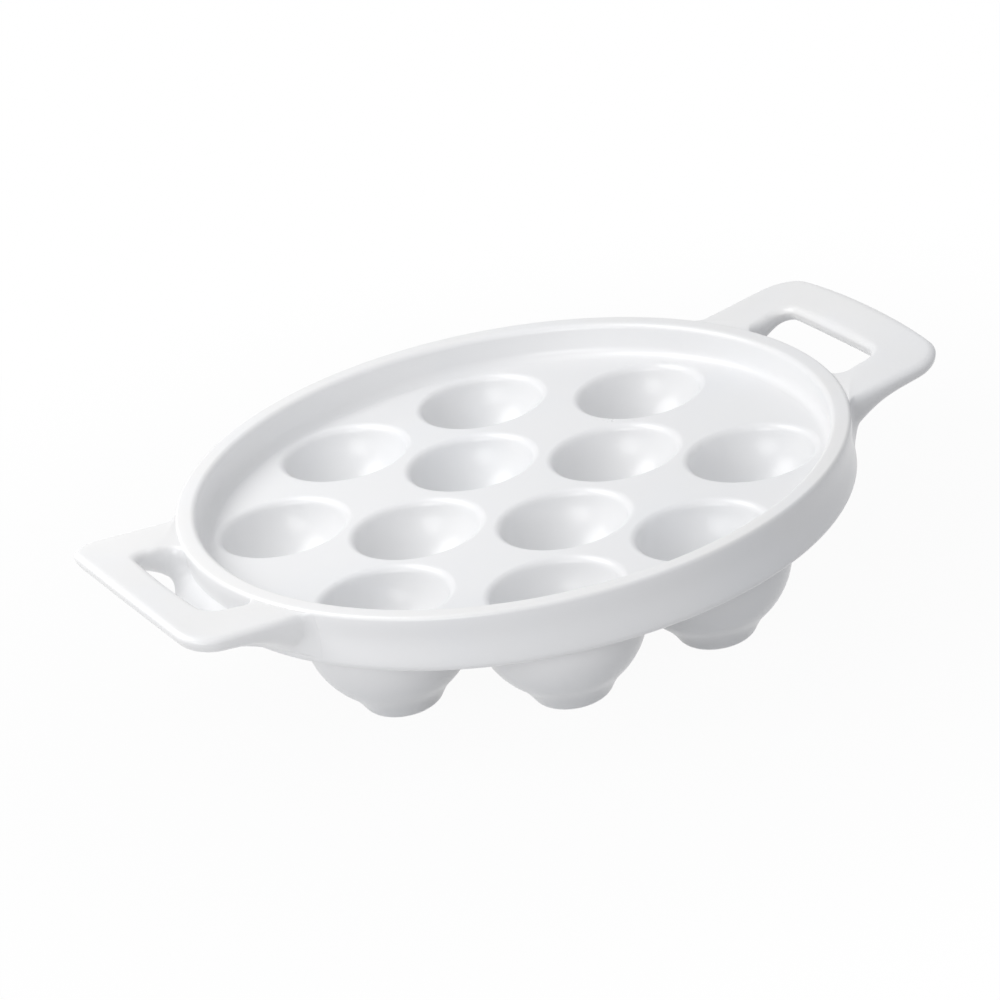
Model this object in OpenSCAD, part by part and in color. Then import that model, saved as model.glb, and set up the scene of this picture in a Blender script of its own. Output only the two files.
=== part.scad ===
// Twelve-well escargot plate with two loop handles, in glazed white porcelain.
// Frame: the origin lies on the table under the middle of the plate, +Z is up
// and the handles stand out along X.

/* [Tray] */
// Outside diameter of the wall round the tray
wall_d = 202; // [190:1:230]
// Thickness of the wall
wall_t = 6.25; // [5.75:0.25:7]
// Rounding of the lip, inside and outside
lip_round = 2.8; // [1:0.1:2.8]
// Height of the lip above the table
lip_h = 45; // [43:0.5:52]
// Depth of the tray, from the lip down to the deck
tray_depth = 11.8; // [9:0.1:13]
// Thickness of the deck that the wells are let into
deck_t = 6; // [4.5:0.25:7]
// Radius of the cove where the wall runs into the deck
cove_r = 3.5; // [1.5:0.25:3.75]
// Rounding of the wall's lower outside edge
wall_edge_r = 1.5; // [0.5:0.25:2.5]

/* [Wells] */
// Deck left between the wall and the mouths of the outer wells
wall_gap = 3.85; // [2:0.05:6]
// Least deck left between the mouths of two wells
web = 2.1; // [1:0.1:5]
// Angle from the handle axis to the nearer outer wells
ring_near_deg = 27.9; // [26:0.1:30]
// Angle from the handle axis to the farther outer wells
ring_far_deg = 69.8; // [68:0.1:70]
// Place of the inner wells on the handle axis, on a circle of outer wells of radius 1
along_share = 0.4836; // [0.46:0.0002:0.5]
// Place of the inner wells across the handle axis, on the same circle
across_share = 0.4054; // [0.38:0.0002:0.42]
// Rounding of the edge where the deck runs into a well
mouth_round = 1.7; // [0.75:0.05:2.5]
// Depth of a well below the deck
well_depth = 17; // [15:0.5:22]
// Outside radius of the bowl under the deck
bowl_r = 25.1; // [23:0.1:26]

/* [Feet] */
// Diameter of the foot under each well
foot_d = 24.6; // [22:0.2:28]
// Rounding of the foot's lower edge
foot_round = 4.5; // [2:0.25:6]
// Radius of the hollow blend between the foot and the bowl
foot_blend = 22; // [10:0.5:30]

/* [Handles] */
// How far a handle reaches out from the wall
handle_reach = 27; // [26:0.5:34]
// Width of a handle along its outer bar
bar_span = 90; // [84:1:98]
// Width of a handle where its legs meet the wall, without the flares
root_span = 89; // [84:1:94]
// Width of the outer bar, seen from above
bar_w = 14; // [10:0.25:14]
// How far the ends of the outer bar fall back from its middle
bar_bow = 1.8; // [1.2:0.1:4]
// Thickness of the outer bar
bar_t = 6.5; // [5:0.25:8]
// Rise of the middle of the outer bar above the lip
bar_rise = 5.6; // [1:0.2:8]
// Drop of the ends of the outer bar below its middle
bar_arch = 3.5; // [0:0.25:4]
// Drop of the legs' top below the lip where they meet the wall
root_drop = 1; // [1:0.1:3]
// Height of a leg where it meets the wall
root_h = 14.5; // [11:0.25:15]
// Outside rounding of the handle's corners
corner_r = 10.5; // [7:0.25:13]
// Hollow radius of the flare that runs each leg into the wall, where the leg is widest
flare_r = 6; // [3:0.5:12]
// Hollow radius of the same flare at the leg's upper and lower faces
flare_face_r = 4.5; // [3:0.5:8]
// Width of the soft rounding along the handle's upper edges
edge_round = 3; // [2:0.1:4]

/* [Finger opening] */
// Length of the opening between the legs
hole_w = 51; // [46:1:56]
// Rounding of the opening's corners beside the bar
hole_corner_r = 5.3; // [3:0.1:6]
// Rounding of the opening's corners beside the wall
hole_root_r = 6; // [3:0.25:7]
// Width of the apron that the roots leave along the wall, at its lower edge
apron_w = 7; // [4:0.25:8]
// Thickness of the apron's upper edge
apron_t = 0.8; // [0.6:0.1:1.5]
// Drop of the apron's upper edge below the lip
apron_drop = 3.5; // [3:0.25:6]

/* [Hidden] */
$fn = 96;
glaze = [0.95, 0.95, 0.955];

// Radii and heights that the pieces share
wall_r = wall_d / 2;
bore_r = wall_r - wall_t;
deck_z = lip_h - tray_depth;
under_z = deck_z - deck_t;
floor_z = deck_z - well_depth;
foot_r = foot_d / 2;

// Plan of the wells for an outer circle of radius 1, and the least distance between two of them
ring_plan = [
    for (deg = [
        ring_near_deg, ring_far_deg, 180 - ring_far_deg, 180 - ring_near_deg,
        180 + ring_near_deg, 180 + ring_far_deg, 360 - ring_far_deg, 360 - ring_near_deg,
    ]) [cos(deg), sin(deg)]
];
inner_plan = [[along_share, 0], [0, across_share], [-along_share, 0], [0, -across_share]];
plan = concat(ring_plan, inner_plan);
least_pitch = min([for (i = [1:len(plan) - 1], j = [0:i - 1]) norm(plan[i] - plan[j])]);

// The outer circle and the mouths fill the deck, but for the web and the gap to the wall
ring_r = (bore_r - wall_gap + web / 2) / (1 + least_pitch / 2);
mouth_r = (ring_r * least_pitch - web) / 2;
hollow_r = (pow(mouth_r, 2) + pow(well_depth, 2)) / (2 * well_depth) - mouth_round;
wells = ring_r * plan;

// Steps along each rounding of the rim and each stretch of the handle's loft
rim_steps = 8;
apron_steps = 4;
turn_steps = 6;
flare_steps = 6;
leg_steps = 3;
corner_steps = 7;
bar_steps = 5;
edge_steps = 10;

// Form of the handle's sections: height of the girth between the middle and the top, shares of
// the width that the lower roundings take, each and at most together, and how the lower face
// sweeps up from the wall
leg_girth = 0.5;
inner_belly = 0.56;
outer_belly = 0.35;
root_belly = 0.5;
most_belly = 0.97;
inner_sweep = 2.6;
outer_sweep = 3.6;
bracket_share = 0.65;
apron_round = 1.2;

// Small helpers on numbers and on points in the plane
function mix(a, b, t) = a + (b - a) * t;
function share(t) = min(max(t, 0), 1);
function soft(t) = pow(share(t), 2) * (3 - 2 * share(t));
function polar(r, deg) = r * [cos(deg), sin(deg)];
function heading(v) = atan2(v[1], v[0]);
function spread(a, b, steps) = [for (k = [1:steps]) mix(a, b, k / steps)];
function arc(c, r, a, b, steps) = [for (deg = spread(a, b, steps)) c + polar(r, deg)];
// Distance along d from p to the far crossing of the circle round c
function far_hit(p, d, c, r) = let (q = p - c, b = q * d) -b + sqrt(b * b - q * q + r * r);
// Where the circles round a and b cross, to the left of the way from a to b
function meet(a, a_r, b, b_r) =
    let (
        gap = norm(b - a),
        way = (b - a) / gap,
        along = (a_r * a_r - b_r * b_r + gap * gap) / (2 * gap)
    )
    a + way * along + [-way[1], way[0]] * sqrt(a_r * a_r - along * along);

// Plan of the outer bar: two arcs round one centre on the handle axis
bar_x = wall_r + handle_reach;
bar_arc_r = (pow(bar_span / 2, 2) + pow(bar_bow, 2)) / (2 * bar_bow);
bar_c = [bar_x - bar_arc_r, 0];

// Plan of a leg's outer side and of its rounded corner
leg_foot = [bore_r, root_span / 2];
leg_end = [bar_x - bar_bow, bar_span / 2];
leg_dir = (leg_end - leg_foot) / norm(leg_end - leg_foot);
leg_out = [-leg_dir[1], leg_dir[0]];
corner_from = leg_foot - leg_out * corner_r;
corner_c = corner_from + leg_dir * far_hit(corner_from, leg_dir, bar_c, bar_arc_r - corner_r);
corner_deg = heading(corner_c - bar_c);

// Plan of the finger opening's corners, beside the bar and at a distance off the wall
hole_y = hole_w / 2;
hole_bar_r = bar_arc_r - bar_w;
hole_corner_y = hole_y - hole_corner_r;
hole_corner_x = bar_c[0] + sqrt(pow(hole_bar_r - hole_corner_r, 2) - pow(hole_corner_y, 2));
hole_corner_c = [hole_corner_x, hole_corner_y];
hole_corner_deg = heading(hole_corner_c - bar_c);
hole_root_y = hole_y - hole_root_r;
function hole_root_c(off) = [sqrt(pow(wall_r + off + hole_root_r, 2) - pow(hole_root_y, 2)), hole_root_y];
hole_root_deg = heading(hole_root_c(apron_t));

// Inner edge of the loft at one level, from the middle of the apron to the middle of the bar.
// It follows the finger opening, at a distance off the wall.
function inner_edge(off) =
    let (
        root_c = hole_root_c(off),
        root_deg = heading(root_c),
        mid_x = mix(root_c[0], hole_corner_x, flare_steps / (flare_steps + leg_steps))
    )
    concat(
        [[wall_r + off, 0]],
        arc([0, 0], wall_r + off, 0, root_deg, apron_steps),
        arc(root_c, hole_root_r, 180 + root_deg, 90, turn_steps),
        spread([root_c[0], hole_y], [mid_x, hole_y], flare_steps),
        spread([mid_x, hole_y], [hole_corner_x, hole_y], leg_steps),
        arc(hole_corner_c, hole_corner_r, 90, hole_corner_deg, corner_steps),
        arc(bar_c, hole_bar_r, hole_corner_deg, 0, bar_steps)
    );

// Outer edge of the loft at one level. It lies on the wall as far as the flare, then leaves it.
function outer_edge(r) =
    let (
        flare_from = leg_foot + leg_out * r,
        flare_c = flare_from + leg_dir * far_hit(flare_from, leg_dir, [0, 0], wall_r + r),
        flare_deg = heading(flare_c)
    )
    concat(
        [[wall_r, 0]],
        arc([0, 0], wall_r, 0, hole_root_deg, apron_steps),
        arc([0, 0], wall_r, hole_root_deg, flare_deg, turn_steps),
        arc(flare_c, r, 180 + flare_deg, 360 + heading(-leg_out), flare_steps),
        spread(flare_c - leg_out * r, corner_c + leg_out * corner_r, leg_steps),
        arc(corner_c, corner_r, heading(leg_out), corner_deg, corner_steps),
        arc(bar_c, bar_arc_r, corner_deg, 0, bar_steps)
    );

// Height of the handle's upper and lower faces at a point in plan
function reach_share(at) = share((norm(at) - wall_r) / handle_reach);
function leg_top(at) =
    let (rise = bar_rise - bar_arch * pow(2 * at[1] / bar_span, 2))
    lip_h + mix(-root_drop, rise, reach_share(at));
function top_z(at, leg) = mix(lip_h - apron_drop, leg_top(at), leg);
function base_z(at, leg, sweep) =
    let (depth = mix(bar_t, root_h, pow(1 - reach_share(at), sweep)))
    mix(lip_h - root_drop - root_h, leg_top(at) - depth, leg);

// One section of the loft, from the top round the inner edge and back. The inner edge is given
// at the girth and the lower face, the outer edge at the girth and the two faces.
function section(inner, outer, leg, rounding) =
    let (
        girth = leg_girth * leg,
        loop = leg * soft((norm(inner[0]) - wall_r) / (bracket_share * handle_reach)),
        low_outer = min(mix(root_belly, outer_belly, loop), most_belly - inner_belly * loop),
        place = function (deg, inside) let (
            above = deg <= 90,
            up = girth + cos(deg) * (above ? 1 - girth : 1 + girth),
            away = 1 - sin(deg),
            p = above ? inner[0] : mix(inner[0], inner[1], (girth - up) / (girth + 1)),
            loose = mix(outer[0], outer[1], away),
            q = rounding == 0 ? loose * wall_r / norm(loose) : loose,
            w = norm(q - p),
            d = (q - p) / w,
            crown = min(edge_round, outer_belly * w),
            inner_full = above ? crown : inner_belly * w,
            inner_off = mix(min(apron_round, inner_full), inner_full, above ? leg : loop),
            outer_off = rounding * (above ? crown : low_outer * w),
            at = inside ? p + d * inner_off * away : q - d * outer_off * away,
            base = base_z(at, leg, inside ? inner_sweep : outer_sweep)
        ) [at[0], at[1], mix(base, top_z(at, leg), (1 + up) / 2)]
    )
    concat(
        [for (k = [0:edge_steps]) place(180 * k / edge_steps, true)],
        [for (k = [edge_steps:-1:0]) place(180 * k / edge_steps, false)]
    );

// The tray's wall with its rounded lip and the cove that rests on the deck
module rim() {
    outside = wall_r - lip_round;
    inside = bore_r + lip_round;
    color(glaze) rotate_extrude() polygon(concat(
        [[bore_r, under_z], [wall_r - wall_edge_r, under_z]],
        arc([wall_r - wall_edge_r, under_z + wall_edge_r], wall_edge_r, -90, 0, rim_steps),
        [[wall_r, lip_h - lip_round]],
        arc([outside, lip_h - lip_round], lip_round, 0, 90, rim_steps),
        [[inside, lip_h]],
        arc([inside, lip_h - lip_round], lip_round, 90, 180, rim_steps),
        [[bore_r, deck_z + cove_r]],
        arc([bore_r - cove_r, deck_z + cove_r], cove_r, 0, -90, rim_steps),
        [[bore_r, deck_z]]
    ));
}

// The flat deck, with a hole for each well's collar
module deck() {
    color(glaze) translate([0, 0, under_z]) linear_extrude(deck_t) difference() {
        circle(bore_r);
        for (c = wells) translate(c) circle(mouth_r);
    }
}

// The outside of one well in profile: collar, bowl, hollow blend and foot
module well_outside() {
    bowl_c = [0, under_z];
    foot_c = [foot_r - foot_round, foot_round];
    blend_c = meet(bowl_c, bowl_r + foot_blend, foot_c, foot_round + foot_blend);
    foot_touch = mix(foot_c, blend_c, foot_round / (foot_round + foot_blend));
    bowl_touch = mix(bowl_c, blend_c, bowl_r / (bowl_r + foot_blend));
    translate([0, under_z]) square([mouth_r, deck_t]);
    intersection() {
        translate(bowl_c) circle(bowl_r);
        square([bowl_r, under_z]);
    }
    difference() {
        polygon([
            [0, foot_round / 2], [foot_c[0], foot_round / 2],
            foot_touch, bowl_touch, [0, under_z / 2],
        ]);
        translate(blend_c) circle(foot_blend);
    }
    square([foot_c[0], under_z / 2]);
    intersection() {
        translate(foot_c) circle(foot_round);
        square([foot_r, foot_touch[1]]);
    }
}

// The hollow of one well in profile: a round bowl that runs into a rounded mouth
module well_inside() {
    hollow_c = [0, floor_z + hollow_r];
    mouth_c = [mouth_r, deck_z - mouth_round];
    touch = mix(hollow_c, mouth_c, hollow_r / (hollow_r + mouth_round));
    intersection() {
        translate(hollow_c) circle(hollow_r);
        translate([0, floor_z]) square([hollow_r, touch[1] - floor_z]);
    }
    difference() {
        polygon([[0, floor_z + mouth_round], touch, [mouth_r, touch[1]], [mouth_r, deck_z], [0, deck_z]]);
        translate(mouth_c) circle(mouth_round);
    }
}

// One well, cut flat where it meets the bowls beside it
module well(index) {
    c = wells[index];
    color(glaze) difference() {
        translate(c) rotate(heading(c)) rotate_extrude() difference() {
            well_outside();
            well_inside();
        }
        for (other = wells) {
            gap = norm(other - c);
            if (gap > 0 && gap < 2 * bowl_r)
                translate((c + other) / 2) rotate(heading(other - c))
                    translate([0, -bowl_r, 0]) cube([bowl_r, 2 * bowl_r, lip_h]);
        }
    }
}

// One loop handle, lofted round its finger opening and seated on the wall
module handle() {
    inner_girth = inner_edge(apron_t);
    inner_low = inner_edge(apron_w);
    outer_girth = outer_edge(flare_r);
    outer_face = outer_edge(flare_face_r);
    last = len(inner_girth) - 1;
    half = [for (k = [0:last]) let (
        leg = soft((k - apron_steps) / turn_steps),
        rounding = soft((k - apron_steps - turn_steps) / flare_steps),
        low = mix(inner_low[k], inner_girth[k], leg)
    ) section([inner_girth[k], low], [outer_girth[k], outer_face[k]], leg, rounding)];
    other_half = [for (k = [last - 1:-1:1]) [for (p = half[k]) [p[0], -p[1], p[2]]]];
    rings = concat(half, other_half);
    n = len(rings[0]);
    count = len(rings);
    color(glaze) polyhedron(
        points = [for (ring = rings) each ring],
        faces = [for (k = [0:count - 1], j = [0:n - 1]) let (
            a = k * n + j,
            b = k * n + (j + 1) % n,
            c = ((k + 1) % count) * n + (j + 1) % n,
            d = ((k + 1) % count) * n + j
        ) each [[a, b, c], [a, c, d]]]
    );
}

module handle_right() {
    handle();
}

module handle_left() {
    rotate(180) handle();
}

rim();
deck();
for (i = [1:len(ring_plan)]) {
    well(i - 1);
}
for (i = [1:len(inner_plan)]) {
    well(len(ring_plan) + i - 1);
}
handle_left();
handle_right();
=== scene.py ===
"""Escargot plate in white glazed porcelain: its looks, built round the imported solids.

The plate's sizes are held in millimetres and its meshes are made in metres, in the
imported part's frame: the origin lies on the table under the middle of the plate, +Z is
up, and the handles stand out along X.
"""
import cmath
import logging
import math
from dataclasses import dataclass, field
from enum import Enum
from typing import Callable, Sequence, TypeVar, Union

import bmesh
import bpy
from mathutils import Matrix, Vector


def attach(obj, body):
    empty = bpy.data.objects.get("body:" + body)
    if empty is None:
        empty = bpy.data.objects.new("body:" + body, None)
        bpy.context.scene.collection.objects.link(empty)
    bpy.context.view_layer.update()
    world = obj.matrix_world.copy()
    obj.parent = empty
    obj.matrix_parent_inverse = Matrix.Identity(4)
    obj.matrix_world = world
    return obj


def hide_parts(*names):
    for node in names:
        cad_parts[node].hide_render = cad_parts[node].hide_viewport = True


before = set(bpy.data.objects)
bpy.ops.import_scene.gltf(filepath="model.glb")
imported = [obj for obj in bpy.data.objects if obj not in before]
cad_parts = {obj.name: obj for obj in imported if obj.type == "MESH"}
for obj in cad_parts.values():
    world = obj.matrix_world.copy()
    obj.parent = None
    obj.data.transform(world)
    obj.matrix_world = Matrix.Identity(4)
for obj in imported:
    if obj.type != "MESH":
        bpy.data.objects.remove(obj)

MM = 0.001
MERGE_M = 1e-7
NOISE_MEAN = 0.5
BODY = "root"
log = logging.getLogger("escargot_plate")

Amount = TypeVar("Amount", float, complex)
Span = tuple[float, float]
Profile = list[Span]
Colour = tuple[float, float, float, float]
Number = Union[float, "Value"]


# Plane geometry

def mix(a: Amount, b: Amount, t: float) -> Amount:
    """The value a share t of the way from a to b."""
    return a + (b - a) * t


def soft(t: float) -> float:
    """A share that starts and ends gently, held between 0 and 1."""
    t = min(max(t, 0.0), 1.0)
    return t * t * (3 - 2 * t)


def polar(r: float, deg: float) -> complex:
    """The point at a distance and a heading."""
    return cmath.rect(r, math.radians(deg))


def heading(v: complex) -> float:
    """The heading of a vector, in degrees."""
    return math.degrees(cmath.phase(v))


def spread(a: complex, b: complex, steps: int) -> list[complex]:
    """Points from just after a up to b, evenly spaced."""
    return [a + (b - a) * k / steps for k in range(1, steps + 1)]


def arc(centre: complex, r: float, start: float, end: float, steps: int) -> list[complex]:
    """Points along an arc.

    Args:
        centre: The arc's centre.
        r: Its radius.
        start: Heading at its start, which is left out.
        end: Heading at its end.
        steps: How many points it gets.

    Returns:
        The points, from just after the start to the end.
    """
    return [centre + polar(r, mix(start, end, k / steps)) for k in range(1, steps + 1)]


def bend(centre: complex, r: float, start: float, end: float, steps: int) -> Profile:
    """A round bend of a profile.

    Args:
        centre: The bend's centre, with distance from the axis and height as its two parts.
        r: The bend's own radius.
        start: Heading at its start.
        end: Heading at its end.
        steps: How many steps it takes.

    Returns:
        The points, with both ends.
    """
    points = [centre + polar(r, start), *arc(centre, r, start, end, steps)]
    return [(p.real, p.imag) for p in points]


def far_hit(p: complex, d: complex, centre: complex, r: float) -> float:
    """How far a line runs to the far side of a circle.

    Args:
        p: The line's start.
        d: Its direction, one long.
        centre: The circle's centre.
        r: Its radius.

    Returns:
        The distance from the start to the far crossing.
    """
    q = p - centre
    along = (q * d.conjugate()).real
    return -along + math.sqrt(along * along - abs(q) ** 2 + r * r)


def meet(a: complex, a_r: float, b: complex, b_r: float) -> complex:
    """Where two circles cross, to the left of the way from the first centre to the second.

    Args:
        a: The first centre.
        a_r: Its radius.
        b: The second centre.
        b_r: Its radius.

    Returns:
        The crossing.
    """
    gap = abs(b - a)
    along = (a_r ** 2 - b_r ** 2 + gap ** 2) / (2 * gap)
    return a + (b - a) / gap * complex(along, math.sqrt(a_r ** 2 - along ** 2))


# Hand work on meshes

def deselect() -> None:
    """Puts down whatever is held, so that the next move takes only its own piece."""
    if bpy.context.object and bpy.context.object.mode != "OBJECT":
        bpy.ops.object.mode_set(mode="OBJECT")
    bpy.ops.object.select_all(action="DESELECT")


def hold(piece: bpy.types.Object) -> None:
    """Takes one piece in hand.

    Args:
        piece: The piece.
    """
    deselect()
    bpy.context.view_layer.objects.active = piece
    piece.select_set(True)


def edit(piece: bpy.types.Object) -> bmesh.types.BMesh:
    """Opens a piece for editing.

    Args:
        piece: The piece to open.

    Returns:
        Its edit mesh.
    """
    hold(piece)
    bpy.ops.object.mode_set(mode="EDIT")
    return bmesh.from_edit_mesh(piece.data)


def pick(piece: bpy.types.Object, wanted: Callable[[bmesh.types.BMVert], bool]) -> None:
    """Selects the vertices of an open piece that a test accepts, and no others.

    Args:
        piece: The piece, in edit mode.
        wanted: The test.
    """
    bpy.ops.mesh.select_mode(type="VERT")
    bpy.ops.mesh.select_all(action="DESELECT")
    mesh = bmesh.from_edit_mesh(piece.data)
    for vert in mesh.verts:
        vert.select = wanted(vert)
    mesh.select_flush_mode()
    bmesh.update_edit_mesh(piece.data)


def close_up(piece: bpy.types.Object) -> None:
    """Merges doubles, turns the faces outwards, leaves edit mode and settles the piece at the origin.

    Args:
        piece: The piece, in edit mode.
    """
    bpy.ops.mesh.select_all(action="SELECT")
    bpy.ops.mesh.remove_doubles(threshold=MERGE_M)
    bpy.ops.mesh.normals_make_consistent(inside=False)
    bpy.ops.object.mode_set(mode="OBJECT")
    hold(piece)
    bpy.ops.object.transform_apply(location=True, rotation=True, scale=True)


def smooth(piece: bpy.types.Object, degrees: float = 35.0) -> None:
    """Shades a piece smooth, with edges sharper than an angle kept crisp."""
    hold(piece)
    bpy.ops.object.shade_smooth_by_angle(angle=math.radians(degrees))


def twin(piece: bpy.types.Object, name: str) -> bpy.types.Object:
    """A copy of a piece with its own mesh.

    Args:
        piece: The piece to copy.
        name: The copy's name.

    Returns:
        The copy.
    """
    hold(piece)
    bpy.ops.object.duplicate(linked=False)
    copy = bpy.context.object
    copy.name = name
    copy.data.name = name
    return copy


def turn(name: str, profile: Profile, segments: int, closed: bool) -> bpy.types.Object:
    """Turns a solid as on a potter's wheel: one ring, drawn out along a profile.

    Args:
        name: The piece's name.
        profile: Radii and heights in millimetres. A last radius of 0 closes at the axis.
        segments: How many points go round a ring.
        closed: Whether the last ring joins the first. Otherwise the first is filled in.

    Returns:
        The piece.
    """
    deselect()
    r, z = profile[0]
    bpy.ops.mesh.primitive_circle_add(vertices=segments, radius=r * MM, location=(0, 0, z * MM))
    piece = bpy.context.object
    piece.name = piece.data.name = name
    edit(piece)
    bpy.ops.mesh.select_all(action="SELECT")
    for next_r, next_z in profile[1:]:
        bpy.ops.mesh.extrude_region_move()
        bpy.ops.transform.translate(value=(0, 0, (next_z - z) * MM))
        if next_r == 0:
            bpy.ops.mesh.merge(type="CENTER")
            break
        bpy.ops.transform.resize(value=(next_r / r, next_r / r, 1))
        r, z = next_r, next_z
    if closed:
        last = len(bmesh.from_edit_mesh(piece.data).verts) - segments
        pick(piece, lambda vert: vert.index < segments or vert.index >= last)
        bpy.ops.mesh.bridge_edge_loops()
    else:
        pick(piece, lambda vert: vert.index < segments)
        bpy.ops.mesh.edge_face_add()
    close_up(piece)
    return piece


# Shader maths

class Value:
    """A shader socket that takes part in Python sums."""

    def __init__(self, sheet: "Sheet", socket: bpy.types.NodeSocket) -> None:
        """Wraps one output socket of a material's sheet."""
        self.sheet = sheet
        self.socket = socket

    def _sum(self, operation: str, *terms: Number) -> "Value":
        """One Math node over the given terms."""
        return self.sheet.node("ShaderNodeMath", {"operation": operation}, dict(enumerate(terms)))["Value"]

    def __add__(self, other: Number) -> "Value":
        """This value plus another."""
        return self._sum("ADD", self, other)

    def __radd__(self, other: float) -> "Value":
        """A number plus this value."""
        return self._sum("ADD", other, self)

    def __sub__(self, other: Number) -> "Value":
        """This value less another."""
        return self._sum("SUBTRACT", self, other)

    def __rsub__(self, other: float) -> "Value":
        """A number less this value."""
        return self._sum("SUBTRACT", other, self)

    def __mul__(self, other: Number) -> "Value":
        """This value times another."""
        return self._sum("MULTIPLY", self, other)

    def __rmul__(self, other: float) -> "Value":
        """A number times this value."""
        return self._sum("MULTIPLY", other, self)

    def largest(self, other: Number) -> "Value":
        """The larger of this value and another."""
        return self._sum("MAXIMUM", self, other)

    def between(self, low: float, high: float) -> "Value":
        """A soft share that is 0 at low and 1 at high."""
        sockets = {"Value": self, "From Min": low, "From Max": high}
        return self.sheet.node("ShaderNodeMapRange", {"interpolation_type": "SMOOTHSTEP"}, sockets)["Result"]


class Made:
    """A node on a sheet, whose outputs are read by name."""

    def __init__(self, sheet: "Sheet", node: bpy.types.Node) -> None:
        """Keeps a node and the sheet it is on."""
        self.sheet = sheet
        self.node = node

    def __getitem__(self, name: str) -> Value:
        """One output of the node."""
        return Value(self.sheet, self.node.outputs[name])


class Sheet:
    """The node sheet of one material or world."""

    # A Mix node's sockets for colours, by number because their names occur once for each data type
    SHARE, FIRST, SECOND, RESULT = 0, 6, 7, 2

    def __init__(self, owner: bpy.types.Material | bpy.types.World) -> None:
        """Starts an empty sheet.

        Args:
            owner: The material or world that the sheet is for.
        """
        owner.use_nodes = True
        self.tree = owner.node_tree
        self.tree.nodes.clear()

    def node(self, kind: str, settings: dict[str, object] | None = None,
             sockets: dict[str | int, object] | None = None) -> Made:
        """Adds one node.

        Args:
            kind: The node's type.
            settings: Its own settings, which are set first.
            sockets: Values or links of its inputs, by name or number.

        Returns:
            The node.
        """
        node = self.tree.nodes.new(kind)
        for key, value in (settings or {}).items():
            setattr(node, key, value)
        for key, value in (sockets or {}).items():
            if isinstance(value, Value):
                self.tree.links.new(value.socket, node.inputs[key])
            else:
                node.inputs[key].default_value = value
        return Made(self, node)

    def blend(self, share: Number, first: object, second: object) -> Value:
        """A colour part of the way from one to another.

        Args:
            share: 0 for the first, 1 for the second.
            first: A colour or a link.
            second: A colour or a link.

        Returns:
            The colour.
        """
        sockets = {self.SHARE: share, self.FIRST: first, self.SECOND: second}
        made = self.node("ShaderNodeMix", {"data_type": "RGBA"}, sockets)
        return Value(self, made.node.outputs[self.RESULT])

    def either(self, share: Value, first: Value, second: Value) -> Value:
        """A shader that is the first where the share is 0 and the second where it is 1."""
        return self.node("ShaderNodeMixShader", {}, {0: share, 1: first, 2: second})["Shader"]

    def noise(self, place: Value, size_mm: float, detail: float) -> Value:
        """Soft noise with features of a given size, about its mean."""
        sockets = {"Vector": place, "Scale": 1 / (size_mm * MM), "Detail": detail}
        return self.node("ShaderNodeTexNoise", {}, sockets)["Fac"]


# Finishes

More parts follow.
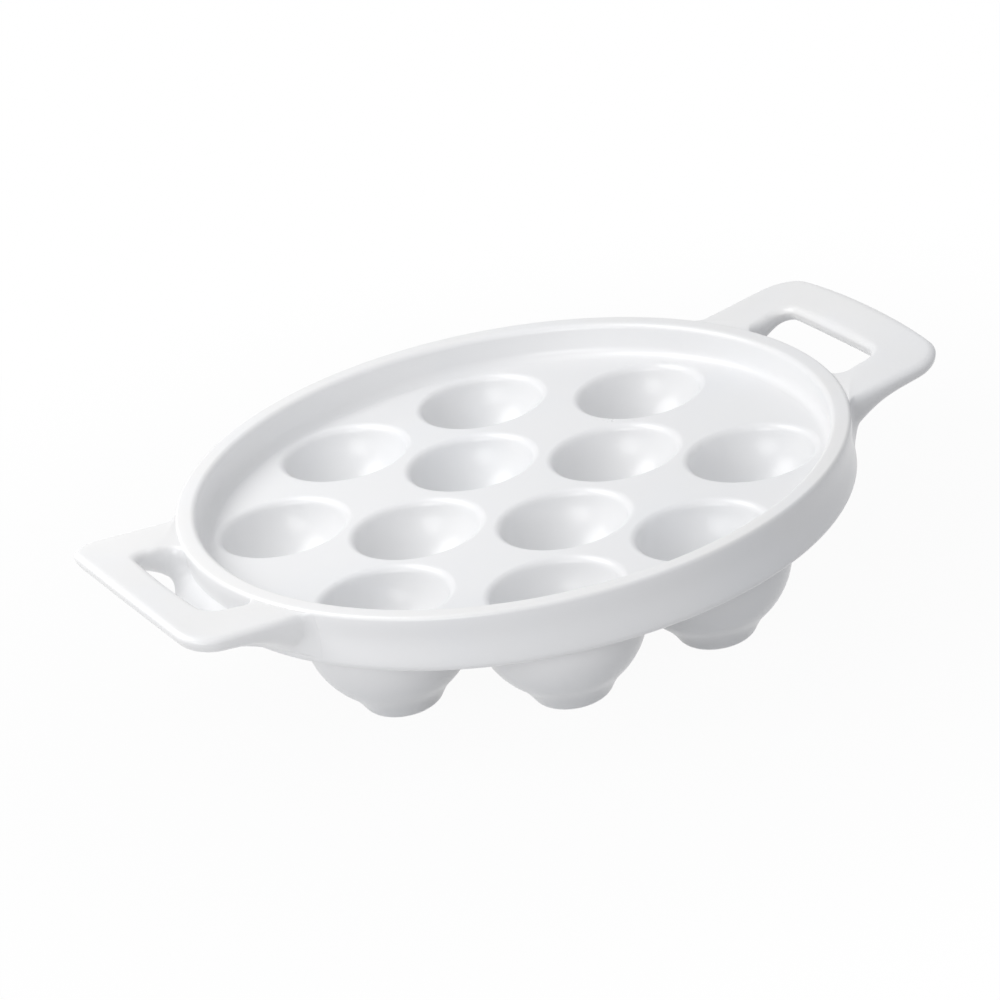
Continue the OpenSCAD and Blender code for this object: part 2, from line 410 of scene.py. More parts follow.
@dataclass(frozen=True)
class Glaze:
    """White feldspar glaze over porcelain: glassy, a little wavy, bluer where it lies thick."""

    white: Colour = (0.86, 0.86, 0.862, 1)
    thick: Colour = (0.838, 0.848, 0.862, 1)
    thin: Colour = (0.868, 0.858, 0.84, 1)
    speck: Colour = (0.60, 0.57, 0.53, 1)

    # Thickness: pooled low on the bowls and in clouds, thin along the lip
    cloud_mm: float = 38.0
    cloud_detail: float = 2.0
    pool_z: Span = (7.0, 24.0)
    pool_share: float = 0.7
    pool_cloud: Span = (0.45, 0.75)
    pool_cloud_share: float = 0.5
    thin_z: Span = (43.6, 45.0)
    thin_cloud: Span = (0.35, 0.6)
    thin_share: float = 0.6

    # Specks, in the few cells that are above a limit
    speck_mm: float = 7.5
    speck_cells: Span = (0.86, 0.9)
    speck_edge: Span = (0.012, 0.03)
    speck_share: float = 0.2

    # Surface
    wave_mm: float = 9.0
    wave_detail: float = 1.0
    wave_h_mm: float = 0.12
    wave_strength: float = 0.35
    grain_mm: float = 0.9
    grain_detail: float = 2.0
    grain_h_mm: float = 0.02
    grain_strength: float = 0.12
    roughness: float = 0.3
    cloud_swing: float = 0.08
    grain_swing: float = 0.04
    ior: float = 1.5
    coat: float = 0.2
    coat_roughness: float = 0.14

    def make(self, name: str) -> bpy.types.Material:
        """Mixes the glaze.

        Args:
            name: The material's name.

        Returns:
            The material.
        """
        material = bpy.data.materials.new(name)
        sheet = Sheet(material)
        place = sheet.node("ShaderNodeTexCoord")["Object"]
        cloud = sheet.noise(place, self.cloud_mm, self.cloud_detail)
        grain = sheet.noise(place, self.grain_mm, self.grain_detail)
        rough = self.roughness + (cloud - NOISE_MEAN) * self.cloud_swing
        rough += (grain - NOISE_MEAN) * self.grain_swing
        shader = sheet.node("ShaderNodeBsdfPrincipled", {}, {
            "Base Color": self.colour(sheet, place, cloud), "Roughness": rough,
            "Normal": self.relief(sheet, place, grain), "IOR": self.ior,
            "Coat Weight": self.coat, "Coat Roughness": self.coat_roughness, "Coat IOR": self.ior})
        sheet.node("ShaderNodeOutputMaterial", {}, {"Surface": shader["BSDF"]})
        return material

    def colour(self, sheet: Sheet, place: Value, cloud: Value) -> Value:
        """The glaze's colour, by its thickness and with its specks.

        Args:
            sheet: The glaze's sheet.
            place: Where on the plate.
            cloud: How the thickness drifts.

        Returns:
            The colour.
        """
        height = sheet.node("ShaderNodeSeparateXYZ", {}, {"Vector": place})["Z"]
        low = 1 - height.between(*(z * MM for z in self.pool_z))
        pooled = low * self.pool_share + cloud.between(*self.pool_cloud) * self.pool_cloud_share
        high = height.between(*(z * MM for z in self.thin_z))
        worn = high * cloud.between(*self.thin_cloud) * self.thin_share
        glaze = sheet.blend(worn, sheet.blend(pooled, self.white, self.thick), self.thin)
        cells = sheet.node("ShaderNodeTexVoronoi", {}, {"Vector": place, "Scale": 1 / (self.speck_mm * MM)})
        chance = sheet.node("ShaderNodeSeparateColor", {}, {"Color": cells["Color"]})["Red"]
        dot = (1 - cells["Distance"].between(*self.speck_edge)) * chance.between(*self.speck_cells)
        return sheet.blend(dot * self.speck_share, glaze, self.speck)

    def relief(self, sheet: Sheet, place: Value, grain: Value) -> Value:
        """The lie of the surface: long waves with a fine grain over them.

        Args:
            sheet: The glaze's sheet.
            place: Where on the plate.
            grain: The fine grain.

        Returns:
            The normal.
        """
        wave = sheet.noise(place, self.wave_mm, self.wave_detail)
        swell = sheet.node("ShaderNodeBump", {}, {
            "Strength": self.wave_strength, "Distance": self.wave_h_mm * MM, "Height": wave})
        return sheet.node("ShaderNodeBump", {}, {
            "Strength": self.grain_strength, "Distance": self.grain_h_mm * MM, "Height": grain,
            "Normal": swell["Normal"]})["Normal"]


@dataclass(frozen=True)
class Biscuit:
    """Bare fired porcelain under the feet, wiped clean of glaze: matt, warm and lightly scuffed."""

    clay: Colour = (0.80, 0.775, 0.73, 1)
    scuff: Colour = (0.58, 0.55, 0.51, 1)
    scuff_mm: float = 6.0
    scuff_detail: float = 4.0
    scuff_limits: Span = (0.5, 0.72)
    scuff_share: float = 0.5
    grain_mm: float = 0.45
    grain_detail: float = 3.0
    grain_share: float = 0.3
    grain_h_mm: float = 0.06
    grain_strength: float = 0.5
    roughness: float = 0.78
    grain_swing: float = 0.2

    def make(self, name: str) -> bpy.types.Material:
        """Mixes the bare clay.

        Args:
            name: The material's name.

        Returns:
            The material.
        """
        material = bpy.data.materials.new(name)
        sheet = Sheet(material)
        place = sheet.node("ShaderNodeTexCoord")["Object"]
        grain = sheet.noise(place, self.grain_mm, self.grain_detail)
        scuff = sheet.noise(place, self.scuff_mm, self.scuff_detail).between(*self.scuff_limits)
        worn = scuff * self.scuff_share + (grain - NOISE_MEAN) * self.grain_share
        tooth = sheet.node("ShaderNodeBump", {}, {
            "Strength": self.grain_strength, "Distance": self.grain_h_mm * MM, "Height": grain})
        shader = sheet.node("ShaderNodeBsdfPrincipled", {}, {
            "Base Color": sheet.blend(worn, self.clay, self.scuff), "Normal": tooth["Normal"],
            "Roughness": self.roughness + (grain - NOISE_MEAN) * self.grain_swing})
        sheet.node("ShaderNodeOutputMaterial", {}, {"Surface": shader["BSDF"]})
        return material


@dataclass
class Finishes:
    """The two finishes that the plate wears."""

    glaze: bpy.types.Material = field(default_factory=lambda: Glaze().make("white_glaze"))
    biscuit: bpy.types.Material = field(default_factory=lambda: Biscuit().make("bare_foot"))


def dress(piece: bpy.types.Object, finishes: Finishes, node: str) -> None:
    """Glazes a finished piece and sets it on the plate in place of its solid.

    Args:
        piece: The piece.
        finishes: The plate's finishes.
        node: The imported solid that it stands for.
    """
    piece.data.materials.clear()
    piece.data.materials.append(finishes.glaze)
    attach(piece, BODY)
    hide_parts(node)
    log.info("%s: %d faces for %s", piece.name, len(piece.data.polygons), node)


# The plate

@dataclass
class Rim:
    """The upright wall with its rounded lip, its slight waist and the cove onto the deck."""

    wall_r: float = 101.0
    bore_r: float = 94.75
    lip_z: float = 45.0
    lip_outer: float = 1.2
    lip_inner: float = 1.9
    waist: float = 0.7
    waist_z: float = 36.8
    edge_r: float = 2.6
    edge_in: float = 0.25
    cove_r: float = 3.2
    ledge_r: float = 91.5
    deck_z: float = 34.4
    under_z: float = 27.2
    segments: int = 256
    steps: int = 10

    def face(self) -> Span:
        """The heights between which the outside of the wall has no rounding."""
        return self.under_z + self.edge_r, self.lip_z - self.lip_outer

    def drawn_in(self, z: float) -> float:
        """How far the outside of the wall is drawn in, its roundings included.

        Args:
            z: The height on the wall.

        Returns:
            The distance from the wall's full radius.
        """
        low, high = self.face()
        if z < self.waist_z:
            under = min(max(low - z, 0), self.edge_r)
            waist = mix(self.edge_in, self.waist, soft((z - low) / (self.waist_z - low)))
            return waist + self.edge_r - math.sqrt(self.edge_r ** 2 - under ** 2)
        over = min(max(z - high, 0), self.lip_outer)
        waist = mix(self.waist, 0, soft((z - self.waist_z) / (high - self.waist_z)))
        return waist + self.lip_outer - math.sqrt(self.lip_outer ** 2 - over ** 2)

    def outside(self) -> Profile:
        """The wall's outside between its two roundings, drawn in at the waist."""
        heights = [mix(*self.face(), k / self.steps) for k in range(1, self.steps)]
        return [(self.wall_r - self.drawn_in(z), z) for z in heights]

    def profile(self) -> Profile:
        """The whole outline of the wall.

        Returns:
            Its points, from the ledge under the deck round the outside and back.
        """
        low, high = self.face()
        edge_c = complex(self.wall_r - self.edge_in - self.edge_r, low)
        outer_c = complex(self.wall_r - self.lip_outer, high)
        inner_c = complex(self.bore_r + self.lip_inner, self.lip_z - self.lip_inner)
        cove_c = complex(self.bore_r - self.cove_r, self.deck_z + self.cove_r)
        return [
            (self.ledge_r, self.under_z),
            *bend(edge_c, self.edge_r, -90, 0, self.steps),
            *self.outside(),
            *bend(outer_c, self.lip_outer, 0, 90, self.steps),
            *bend(inner_c, self.lip_inner, 90, 180, self.steps),
            *bend(cove_c, self.cove_r, 0, -90, self.steps),
            (self.ledge_r, self.deck_z),
        ]

    def build(self, finishes: Finishes) -> None:
        """Turns the rim and dresses it.

        Args:
            finishes: The plate's finishes.
        """
        piece = turn("porcelain_rim", self.profile(), self.segments, closed=True)
        smooth(piece)
        dress(piece, finishes, "rim")


class Ring(Enum):
    """Which ring a well stands on."""

    OUTER = "ring_well"
    INNER = "inner_well"


@dataclass
class Wells:
    """The snail wells: one is turned, then copied, and cut flat where bowls meet."""

    rim: Rim

    # Plan
    ring_r: float = 70.306
    near_deg: float = 27.9
    far_deg: float = 69.8
    inner_along: float = 34.0
    inner_across: float = 28.5

    # Profile
    collar_r: float = 21.1
    mouth_r: float = 21.05
    mouth_round: float = 2.6
    depth: float = 18.0
    bowl_r: float = 25.1
    shoulder_r: float = 2.5
    foot_r: float = 12.3
    foot_round: float = 4.5
    foot_blend: float = 22.0

    # Limits of the bare clay, in its facing and its height
    bare_facing: float = -0.98
    bare_z: float = 0.1

    # Steps along each bend and round a ring
    foot_steps: int = 8
    blend_steps: int = 8
    bowl_steps: int = 14
    shoulder_steps: int = 8
    mouth_steps: int = 12
    hollow_steps: int = 24
    segments: int = 128

    def centres(self) -> dict[Ring, list[complex]]:
        """Where the wells stand.

        Returns:
            Their places in plan, ring by ring, in the order of their names.
        """
        near, far = self.near_deg, self.far_deg
        outer = [near, far, 180 - far, 180 - near, 180 + near, 180 + far, 360 - far, 360 - near]
        along, across = complex(self.inner_along), 1j * self.inner_across
        return {Ring.OUTER: [polar(self.ring_r, deg) for deg in outer],
                Ring.INNER: [along, across, -along, -across]}

    def profile(self) -> Profile:
        """The outline of a well.

        Returns:
            Its points, from the foot up the bowl, over the collar and down to the well's floor.
        """
        deck_z, under_z = self.rim.deck_z, self.rim.under_z
        foot_c, bowl_c = complex(self.foot_r - self.foot_round, self.foot_round), complex(0, under_z)
        blend_c = meet(bowl_c, self.bowl_r + self.foot_blend, foot_c, self.foot_round + self.foot_blend)
        foot_leave, bowl_leave = heading(blend_c - foot_c), heading(blend_c - bowl_c)
        shoulder_x = math.sqrt((self.bowl_r + self.shoulder_r) ** 2 - self.shoulder_r ** 2)
        shoulder_c = complex(shoulder_x, under_z - self.shoulder_r)
        shoulder_leave = heading(shoulder_c - bowl_c)
        hollow_r = (self.mouth_r ** 2 + self.depth ** 2) / (2 * self.depth) - self.mouth_round
        mouth_c = complex(self.mouth_r, deck_z - self.mouth_round)
        hollow_c = complex(0, deck_z - self.depth + hollow_r)
        mouth_leave = heading(mouth_c - hollow_c)
        return [
            *bend(foot_c, self.foot_round, -90, foot_leave, self.foot_steps),
            *bend(blend_c, self.foot_blend, 180 + foot_leave, 180 + bowl_leave, self.blend_steps)[1:],
            *bend(bowl_c, self.bowl_r, bowl_leave, shoulder_leave, self.bowl_steps)[1:],
            *bend(shoulder_c, self.shoulder_r, 180 + shoulder_leave, 90, self.shoulder_steps)[1:],
            (self.collar_r, under_z),
            (self.collar_r, deck_z),
            *bend(mouth_c, self.mouth_round, 90, 180 + mouth_leave, self.mouth_steps),
            *bend(hollow_c, hollow_r, mouth_leave, -90, self.hollow_steps)[1:-1],
            (0.0, deck_z - self.depth),
        ]

    def cut(self, piece: bpy.types.Object, centre: complex, others: Sequence[complex]) -> None:
        """Cuts a bowl flat, half way to each bowl that it runs into.

        Args:
            piece: The well, standing at its centre.
            centre: That centre.
            others: The centres of all wells.
        """
        edit(piece)
        for other in others:
            gap = abs(other - centre)
            if 0 < gap < 2 * (self.bowl_r + self.shoulder_r):
                middle, away = (centre + other) / 2 * MM, (other - centre) / gap
                bpy.ops.mesh.select_all(action="SELECT")
                bpy.ops.mesh.bisect(plane_co=(middle.real, middle.imag, 0),
                                    plane_no=(away.real, away.imag, 0), use_fill=True, clear_outer=True)
        close_up(piece)

    def build(self, finishes: Finishes) -> None:
        """Turns one well, copies it to every place, cuts each, dresses it and bares its foot.

        Args:
            finishes: The plate's finishes.
        """
        pattern = turn("well_pattern", self.profile(), self.segments, closed=False)
        centres = self.centres()
        everywhere = [c for ring in Ring for c in centres[ring]]
        for ring in Ring:
            for number, centre in enumerate(centres[ring], 1):
                piece = twin(pattern, f"porcelain_{ring.value}_{number}")
                bpy.ops.transform.translate(value=(centre.real * MM, centre.imag * MM, 0))
                bpy.ops.object.transform_apply(location=True)
                self.cut(piece, centre, everywhere)
                smooth(piece)
                dress(piece, finishes, f"{ring.value}_{number}")
                self.bare_foot(piece, finishes)
        bpy.data.objects.remove(pattern)

    def bare_foot(self, piece: bpy.types.Object, finishes: Finishes) -> None:
        """Gives the flat under a foot its bare clay.

        Args:
            piece: The well.
            finishes: The plate's finishes.
        """
        piece.data.materials.append(finishes.biscuit)
        bare = piece.data.materials.find(finishes.biscuit.name)
        for face in piece.data.polygons:
            if face.normal.z < self.bare_facing and face.center.z < self.bare_z * MM:
                face.material_index = bare


@dataclass
class Deck:
    """The flat floor of the tray, pierced for the wells' collars."""

    rim: Rim
    wells: Wells
    punch_h: float = 21.6
    segments: int = 256

    def build(self, finishes: Finishes) -> None:
        """Makes the disc, pierces it and dresses it.

        Args:
            finishes: The plate's finishes.
        """
        deselect()
        bpy.ops.mesh.primitive_circle_add(vertices=self.segments, radius=self.rim.ledge_r * MM,
                                          fill_type="NGON", location=(0, 0, self.rim.deck_z * MM))
        piece = bpy.context.object
        piece.name = piece.data.name = "porcelain_deck"
        edit(piece)
        bpy.ops.mesh.select_all(action="SELECT")
        down = (self.rim.under_z - self.rim.deck_z) * MM
        bpy.ops.mesh.extrude_region_move(TRANSFORM_OT_translate={"value": (0, 0, down)})
        close_up(piece)
        punches = self.punches()
        hold(piece)
        holes = piece.modifiers.new("holes", "BOOLEAN")
        holes.operation, holes.solver, holes.object = "DIFFERENCE", "EXACT", punches
        bpy.ops.object.modifier_apply(modifier=holes.name)
        bpy.data.objects.remove(punches)
        smooth(piece)
        dress(piece, finishes, "deck")

    def punches(self) -> bpy.types.Object:
        """The punches that pierce every hole at once.

        Returns:
            All of them, joined in one object.
        """
        deselect()
        made = []
        centres = self.wells.centres()
        for c in (c for ring in Ring for c in centres[ring]):
            bpy.ops.mesh.primitive_cylinder_add(
                vertices=self.wells.segments, radius=self.wells.collar_r * MM, depth=self.punch_h * MM,
                location=(c.real * MM, c.imag * MM, self.rim.deck_z * MM))
            made.append(bpy.context.object)
        deselect()
        for punch in made:
            punch.select_set(True)
        bpy.context.view_layer.objects.active = made[0]
        bpy.ops.object.join()
        return bpy.context.object


class Side(Enum):
    """Which end of the plate a handle is on, as the angle from the right one."""

    RIGHT = 0
    LEFT = 180


@dataclass
class Handles:
    """The loop handles, drawn round their finger openings and run out on the wall."""

    rim: Rim

    # Plan
    reach: float = 27.0
    bar_span: float = 90.0
    root_span: float = 89.0
    bar_w: float = 14.0
    bar_bow: float = 1.8
    corner_r: float = 10.5
    flare_r: float = 4.0
    flare_face_r: float = 3.5
    hole_w: float = 51.0
    hole_corner_r: float = 5.3
    hole_root_r: float = 6.0
    apron_w: float = 7.0

    # Heights, and how fast the lower face sweeps up from the wall
    bar_t: float = 6.5
    bar_rise: float = 5.5
    bar_arch: float = 3.5
    root_drop: float = 0.6
    root_stop: float = 0.8
    root_h: float = 14.7
    inner_sweep: float = 2.6
    outer_sweep: float = 3.6

    # Roundings of a section, the bellies as shares of its width
    top_round: float = 3.0
    apron_round: float = 1.2
    girth: float = 0.5
    inner_belly: float = 0.56
    outer_belly: float = 0.35
    root_belly: float = 0.5
    belly_limit: float = 0.97
    bracket: float = 17.5

    # Depths under the wall's face: behind the apron, at a flare's end and over the apron
    sink: float = 1.1
    tuck: float = 0.02
    skin: float = 1.0

    # Steps along each stretch and round an edge
    apron_steps: int = 4
    turn_steps: int = 6
    flare_steps: int = 9
    leg_steps: int = 3
    corner_steps: int = 7
    bar_steps: int = 5
    edge_steps: int = 10

    # Rounding off and shading
    round_levels: int = 2
    crease: float = 60.0

    def bar(self) -> tuple[complex, float]:
        """The centre and radius of the bar's bowed outer side."""
        bar_r = ((self.bar_span / 2) ** 2 + self.bar_bow ** 2) / (2 * self.bar_bow)
        return complex(self.rim.wall_r + self.reach - bar_r), bar_r

    def root_corner(self, off: float) -> complex:
        """The centre in plan of the opening's corner, where the opening stays a distance off the wall."""
        y = self.hole_w / 2 - self.hole_root_r
        return complex(math.sqrt((self.rim.wall_r + off + self.hole_root_r) ** 2 - y ** 2), y)

    def inner_edge(self, off: float) -> list[complex]:
        """The finger opening in plan at one level, from the middle of the apron to the middle of the bar.

        Args:
            off: How far the opening stays off the wall.

        Returns:
            Its points.
        """
        bar_c, bar_r = self.bar()
        apron_r, hole_y, hole_r = self.rim.wall_r + off, self.hole_w / 2, bar_r - self.bar_w
        root_c = self.root_corner(off)
        turn_y = hole_y - self.hole_corner_r
        turn_c = complex(bar_c.real + math.sqrt((hole_r - self.hole_corner_r) ** 2 - turn_y ** 2), turn_y)
        root_deg, turn_deg = heading(root_c), heading(turn_c - bar_c)
        mid_x = mix(root_c.real, turn_c.real, self.flare_steps / (self.flare_steps + self.leg_steps))
        return [
            complex(apron_r),
            *arc(0, apron_r, 0, root_deg, self.apron_steps),
            *arc(root_c, self.hole_root_r, 180 + root_deg, 90, self.turn_steps),
            *spread(complex(root_c.real, hole_y), complex(mid_x, hole_y), self.flare_steps),
            *spread(complex(mid_x, hole_y), complex(turn_c.real, hole_y), self.leg_steps),
            *arc(turn_c, self.hole_corner_r, 90, turn_deg, self.corner_steps),
            *arc(bar_c, hole_r, turn_deg, 0, self.bar_steps),
        ]

    def seat(self, start: float, end: float) -> list[complex]:
        """The back of a root in plan, which comes up to the wall's face at a grazing angle.

        Args:
            start: Heading where it starts, which is left out.
            end: Heading where the flare begins.

        Returns:
            Its points.
        """
        deep_r, face_r = self.rim.wall_r - self.sink, self.rim.wall_r - self.tuck
        shares = [k / self.turn_steps for k in range(1, self.turn_steps + 1)]
        return [polar(mix(face_r, deep_r, (1 - t) ** 2), mix(start, end, t)) for t in shares]

    def outer_edge(self, flare_r: float) -> list[complex]:
        """The outside of a handle in plan at one level, from behind the apron to the middle of the bar.

        Args:
            flare_r: The hollow radius that runs the leg into the wall.

        Returns:
            Its points, as many as the inner edge has.
        """
        bar_c, bar_r = self.bar()
        wall_r, back_r = self.rim.wall_r, self.rim.wall_r - self.sink
        foot = complex(self.rim.bore_r, self.root_span / 2)
        end = complex(wall_r + self.reach - self.bar_bow, self.bar_span / 2)
        along = (end - foot) / abs(end - foot)
        out = along * 1j
        flare_from = foot + out * flare_r
        flare_c = flare_from + along * far_hit(flare_from, along, 0, wall_r + flare_r)
        corner_from = foot - out * self.corner_r
        corner_c = corner_from + along * far_hit(corner_from, along, bar_c, bar_r - self.corner_r)
        flare_deg, corner_deg = heading(flare_c), heading(corner_c - bar_c)
        root_deg = heading(self.root_corner(-self.skin))
        return [
            complex(back_r),
            *arc(0, back_r, 0, root_deg, self.apron_steps),
            *self.seat(root_deg, flare_deg),
            *arc(flare_c, flare_r, 180 + flare_deg, 360 + heading(-out), self.flare_steps),
            *spread(flare_c - out * flare_r, corner_c + out * self.corner_r, self.leg_steps),
            *arc(corner_c, self.corner_r, heading(out), corner_deg, self.corner_steps),
            *arc(bar_c, bar_r, corner_deg, 0, self.bar_steps),
        ]

    def leg_line(self, at: complex) -> float:
        """Height of the straight upper face above the lip, at a point in plan."""
        rise = self.bar_rise - self.bar_arch * (2 * at.imag / self.bar_span) ** 2
        return mix(-self.root_drop, rise, (abs(at) - self.rim.wall_r) / self.reach)

    def top(self, at: complex) -> float:
        """Height of the upper face at a point in plan, held up inside the wall."""
        return self.rim.lip_z + max(self.leg_line(at), -self.root_stop)

    def base(self, at: complex, leg: float, sweep: float) -> float:
        """Height of the lower face.

        Args:
            at: The point in plan.
            leg: Share of the leg's form over the apron's.
            sweep: How fast the face sweeps up from the wall.

        Returns:
            The height in millimetres.
        """
        left = 1 - min(max((abs(at) - self.rim.wall_r) / self.reach, 0), 1)
        leg_z = self.leg_line(at) - mix(self.bar_t, self.root_h, left ** sweep)
        return self.rim.lip_z + mix(-self.root_drop - self.root_h, leg_z, leg)

    def section(self, inner: tuple[complex, complex], outer: tuple[complex, complex],
                leg: float, rounding: float) -> list[Vector]:
        """One section of the handle, with a low crown above its girth and a deep belly below it.

        Args:
            inner: Its inner edge in plan, at the girth and at the lower face.
            outer: Its outer edge in plan, at the girth and at the upper and lower faces.
            leg: Share of the leg's form over the apron's.
            rounding: Share of the outer edge's rounding.

        Returns:
            The section's points in metres, from the top round the inner edge and back.
        """
        girth = self.girth * leg
        loop = soft((abs(inner[0]) - self.rim.wall_r) / self.bracket) * leg
        room = self.belly_limit - self.inner_belly * loop
        low_outer = min(mix(self.root_belly, self.outer_belly, loop), room)

        def place(angle: float, inside: bool) -> Vector:
            """One point of the section.

            Args:
                angle: How far round its edge, from 0 at the top to pi at the bottom.
                inside: Whether it is on the inner edge.

            Returns:
                The point in metres.
            """
            above = angle <= math.pi / 2
            up = girth + math.cos(angle) * (1 - girth if above else 1 + girth)
            away = 1 - math.sin(angle)
            p = inner[0] if above else mix(inner[0], inner[1], (girth - up) / (girth + 1))
            q = mix(outer[0], outer[1], away)
            if rounding == 0:
                q *= abs(outer[0]) / abs(q)
            width = abs(q - p)
            across = (q - p) / width
            crown = min(self.top_round, self.outer_belly * width)
            if inside:
                full = crown if above else self.inner_belly * width
                at = p + across * away * mix(min(self.apron_round, full), full, leg if above else loop)
            else:
                at = q - across * away * rounding * (crown if above else low_outer * width)
            base = self.base(at, leg, self.inner_sweep if inside else self.outer_sweep)
            return Vector((at.real, at.imag, mix(base, self.top(at), (1 + up) / 2))) * MM

        angles = [math.pi * k / self.edge_steps for k in range(self.edge_steps + 1)]
        return [place(a, True) for a in angles] + [place(a, False) for a in reversed(angles)]

    def sections(self) -> list[list[Vector]]:
        """Every section round the loop.

        Returns:
            The sections, from the middle of the apron and back to it.
        """
        inner = zip(self.inner_edge(-self.skin), self.inner_edge(self.apron_w))
        outer = zip(self.outer_edge(self.flare_r), self.outer_edge(self.flare_face_r))
        flare_from = self.apron_steps + self.turn_steps
        half = []
        for k, ((upper, lower), outside) in enumerate(zip(inner, outer)):
            leg = soft((k - self.apron_steps) / self.turn_steps)
            rounding = soft((k - flare_from) / self.flare_steps)
            half.append(self.section((upper, mix(lower, upper, leg)), outside, leg, rounding))
        flipped = [[Vector((v.x, -v.y, v.z)) for v in ring] for ring in half[-2:0:-1]]
        return half + flipped

    def draw(self) -> bpy.types.Object:
        """Draws one ring of points round all sections, joins its ends and rounds the loop off.

        Returns:
            The loop.
        """
        rings = self.sections()
        count = len(rings[0])
        deselect()
        bpy.ops.mesh.primitive_circle_add(vertices=count, radius=self.bar_t * MM)
        piece = bpy.context.object
        piece.name = piece.data.name = "handle_pattern"
        mesh = edit(piece)
        mesh.verts.ensure_lookup_table()
        place = {}
        for vert, point in zip(mesh.verts, rings[0]):
            place[vert.index] = len(place)
            vert.co = point
        bpy.ops.mesh.select_all(action="SELECT")
        for ring in rings[1:]:
            bpy.ops.mesh.extrude_region_move()
            mesh = bmesh.from_edit_mesh(piece.data)
            mesh.verts.index_update()
            fresh = {}
            for vert in (v for v in mesh.verts if v.select):
                before = next(e.other_vert(vert) for e in vert.link_edges if not e.other_vert(vert).select)
                fresh[vert.index] = place[before.index]
                vert.co = ring[fresh[vert.index]]
            place = fresh
            bmesh.update_edit_mesh(piece.data)
        last = count * (len(rings) - 1)
        pick(piece, lambda vert: vert.index < count or vert.index >= last)
        bpy.ops.mesh.bridge_edge_loops()
        close_up(piece)
        round_off = piece.modifiers.new("round_off", "SUBSURF")
        round_off.levels = round_off.render_levels = self.round_levels
        bpy.ops.object.modifier_apply(modifier=round_off.name)
        return piece

    def run_out(self, piece: bpy.types.Object) -> None:
        """Draws the flares in with the wall's own face, where they run out on it.

        Args:
            piece: The loop.
        """
        for vert in edit(piece).verts:
            r = vert.co.xy.length / MM
            share = 1 - soft((r - self.rim.wall_r) / self.flare_r)
            vert.co.xy *= 1 - self.rim.drawn_in(vert.co.z / MM) * share / r
        bmesh.update_edit_mesh(piece.data)
        bpy.ops.object.mode_set(mode="OBJECT")

    def build(self, finishes: Finishes) -> None:
        """Draws one handle, turns a copy to each end and dresses both.

        Args:
            finishes: The plate's finishes.
        """
        pattern = self.draw()
        self.run_out(pattern)
        for side in Side:
            piece = twin(pattern, f"porcelain_handle_{side.name.lower()}")
            piece.rotation_euler.z = math.radians(side.value)
            bpy.ops.object.transform_apply(rotation=True)
            smooth(piece, self.crease)
            dress(piece, finishes, f"handle_{side.name.lower()}")
        bpy.data.objects.remove(pattern)


# The studio

@dataclass
class Lamp:
    """One soft box, aimed at the plate. Its place and size are in metres."""

    name: str
    place: tuple[float, float, float]
    size: float
    power: float
    colour: tuple[float, float, float] = (1.0, 1.0, 1.0)
    aim: tuple[float, float, float] = (0.0, 0.0, 0.03)

    def hang(self) -> None:
        """Hangs the lamp in the scene."""
        data = bpy.data.lights.new(self.name, "AREA")
        data.shape, data.size, data.energy, data.color = "DISK", self.size, self.power, self.colour
        lamp = bpy.data.objects.new(self.name, data)
        bpy.context.scene.collection.objects.link(lamp)
        lamp.location = self.place
        lamp.rotation_mode = "QUATERNION"
        lamp.rotation_quaternion = (Vector(self.aim) - Vector(self.place)).to_track_quat("-Z", "Y")


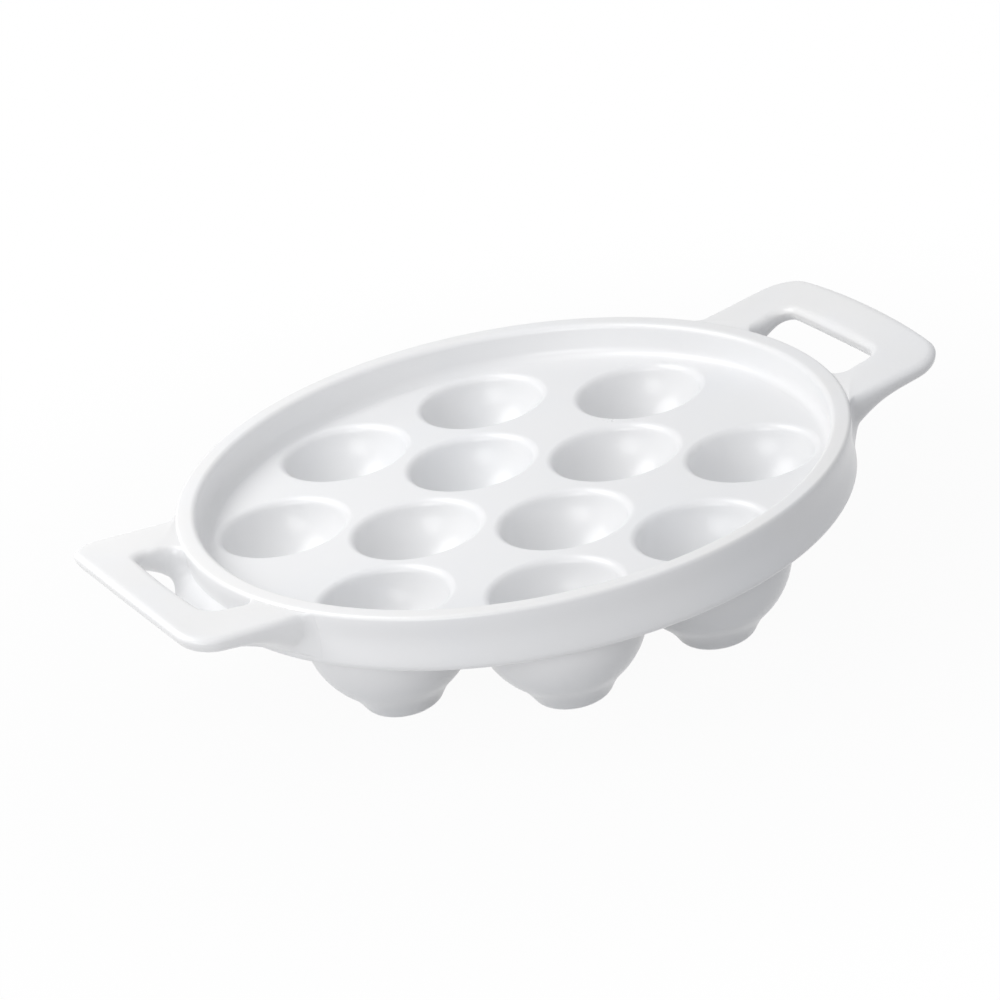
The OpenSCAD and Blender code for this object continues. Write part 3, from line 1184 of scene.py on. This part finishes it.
@dataclass
class Studio:
    """A white table, a white surround and soft boxes. The table's size and shade are in metres."""

    lamps: list[Lamp] = field(default_factory=lambda: [
        Lamp("key_soft_box", place=(-0.30, 0.21, 0.47), size=0.46, power=1.7, colour=(1.0, 0.995, 0.985)),
        Lamp("fill_soft_box", place=(-0.60, -0.42, 0.30), size=0.5, power=1.5),
    ])
    white: Colour = (1, 1, 1, 1)
    surround: float = 0.55
    surround_tint: Colour = (0.95, 0.965, 1.0, 1)
    floor_size: float = 12.0
    floor_drop_mm: float = 0.1
    floor_white: Colour = (0.60, 0.60, 0.605, 1)
    floor_glow: float = 0.955
    shade: Span = (0.12, 0.30)

    @staticmethod
    def seen(sheet: Sheet) -> Value:
        """1 for rays that show the surround: straight, mirrored or through glass."""
        path = sheet.node("ShaderNodeLightPath")
        return path["Is Camera Ray"].largest(path["Is Glossy Ray"]).largest(path["Is Transmission Ray"])

    def light(self) -> None:
        """Lights the surround and hangs the lamps."""
        world = bpy.data.worlds.new("white_surround")
        bpy.context.scene.world = world
        sheet = Sheet(world)
        seen = self.seen(sheet)
        strength = self.surround + seen * (1 - self.surround)
        colour = sheet.blend(seen, self.surround_tint, self.white)
        glow = sheet.node("ShaderNodeBackground", {}, {"Color": colour, "Strength": strength})
        sheet.node("ShaderNodeOutputWorld", {}, {"Surface": glow["Background"]})
        for lamp in self.lamps:
            lamp.hang()

    def lay_floor(self) -> None:
        """Lays the white table top that takes the plate's shadow and is clear from below."""
        deselect()
        bpy.ops.mesh.primitive_plane_add(size=self.floor_size, location=(0, 0, -self.floor_drop_mm * MM))
        floor = bpy.context.object
        floor.name = "white_table"
        material = bpy.data.materials.new("white_table")
        sheet = Sheet(material)
        matt = sheet.node("ShaderNodeBsdfDiffuse", {}, {"Color": self.floor_white})
        glow = sheet.node("ShaderNodeEmission", {}, {"Color": self.white, "Strength": 1.0})
        place = sheet.node("ShaderNodeTexCoord")["Object"]
        out = sheet.node("ShaderNodeVectorMath", {"operation": "LENGTH"}, {0: place})["Value"]
        share = self.floor_glow + out.between(*self.shade) * (1 - self.floor_glow)
        above = sheet.either(self.seen(sheet) * share, matt["BSDF"], glow["Emission"])
        below = sheet.node("ShaderNodeNewGeometry")["Backfacing"]
        clear = sheet.node("ShaderNodeBsdfTransparent")
        sheet.node("ShaderNodeOutputMaterial", {}, {"Surface": sheet.either(below, above, clear["BSDF"])})
        floor.data.materials.append(material)


@dataclass
class Camera:
    """The camera, from a perspective fit of the lip, the wells and the handles."""

    elevation: float = 24.64
    roll: float = -10.40
    turned: float = 24.65
    distance: float = 1281.0
    shift_right: float = 3.20
    shift_up: float = 12.67
    look_z: float = 45.0
    focus_px: float = 4340.0
    picture_px: float = 1000.0
    sensor: float = 36.0
    near: float = 50.0
    far: float = 50000.0

    def set_up(self) -> None:
        """Places the camera and makes it the scene's own."""
        e, r = math.radians(self.elevation), math.radians(self.roll)
        back = Vector((0, -math.cos(e), math.sin(e)))
        level = Vector((1, 0, 0))
        above = back.cross(level)
        right = level * math.cos(r) + above * math.sin(r)
        up = above * math.cos(r) - level * math.sin(r)
        round_plate = Matrix.Rotation(math.radians(-self.turned), 3, "Z")
        back, right, up = (round_plate @ v for v in (back, right, up))
        place = Vector((0, 0, self.look_z)) + back * self.distance
        place = place - right * self.shift_right - up * self.shift_up
        data = bpy.data.cameras.new("photo_camera")
        data.sensor_width = self.sensor
        data.lens = self.sensor * self.focus_px / self.picture_px
        data.clip_start, data.clip_end = self.near * MM, self.far * MM
        camera = bpy.data.objects.new("photo_camera", data)
        bpy.context.scene.collection.objects.link(camera)
        axes = Matrix((right, up, back)).transposed()
        camera.matrix_world = Matrix.Translation(place * MM) @ axes.to_4x4()
        bpy.context.scene.camera = camera


def main() -> None:
    """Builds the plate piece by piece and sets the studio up."""
    logging.basicConfig(level=logging.INFO, format="%(message)s")
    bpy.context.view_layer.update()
    bpy.context.scene.view_settings.view_transform = "Standard"
    finishes = Finishes()
    rim = Rim()
    wells = Wells(rim)
    rim.build(finishes)
    Deck(rim, wells).build(finishes)
    wells.build(finishes)
    Handles(rim).build(finishes)
    studio = Studio()
    studio.light()
    studio.lay_floor()
    Camera().set_up()
    deselect()


if __name__ == "__main__":
    main()
